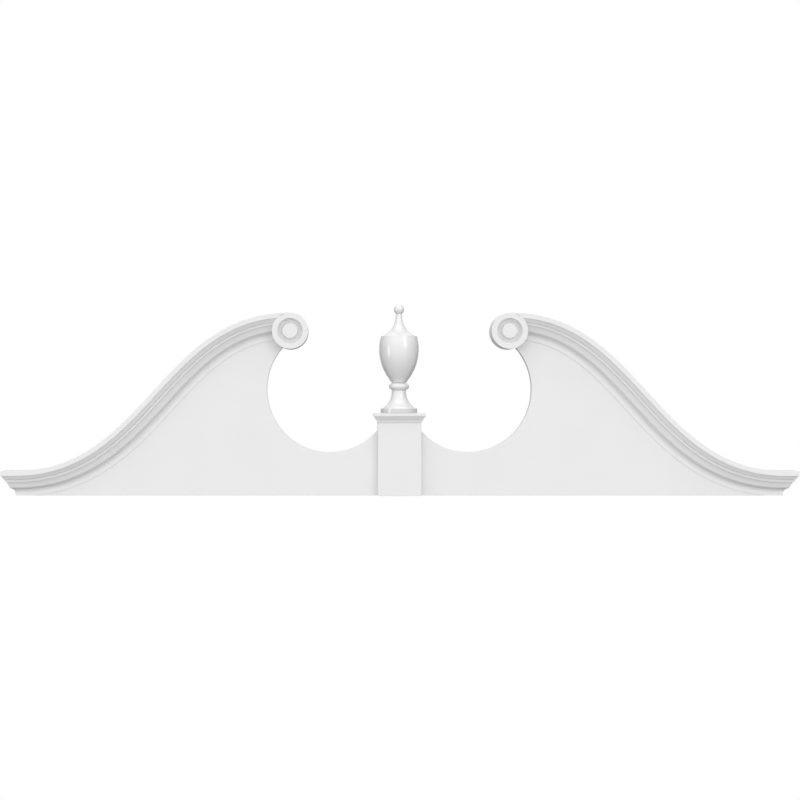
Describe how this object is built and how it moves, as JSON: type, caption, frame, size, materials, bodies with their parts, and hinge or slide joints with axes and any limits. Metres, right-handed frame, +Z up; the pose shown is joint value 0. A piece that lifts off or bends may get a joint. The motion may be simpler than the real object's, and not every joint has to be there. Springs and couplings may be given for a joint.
{
  "type": "rams head pediment",
  "caption": "Swan-neck door pediment: scrolled crown mouldings ending in rosettes over a scooped board, with a half-round urn finial on a plinth.",
  "frame": {"origin": "on the flat back of the board, in the middle of its width, 55 mm above its bottom edge: the point where it is fixed to the wall", "axes": "+X to the viewer's right, +Y back into the wall, +Z up; the front looks along -Y"},
  "size_m": [2.032, 0.0512, 0.4921],
  "materials": {
    "board": "cellular PVC board, satin white paint",
    "moulding": "moulded PVC trim, satin white paint",
    "urn": "moulded urethane, gloss white paint"
  },
  "bodies": {
    "root": {"panel": "board", "crown_left": "moulding", "crown_right": "moulding", "rosette_left": "moulding", "rosette_right": "moulding", "plinth_block": "moulding", "plinth_cap": "moulding", "urn_finial": "urn"}
  },
  "joints": []
}
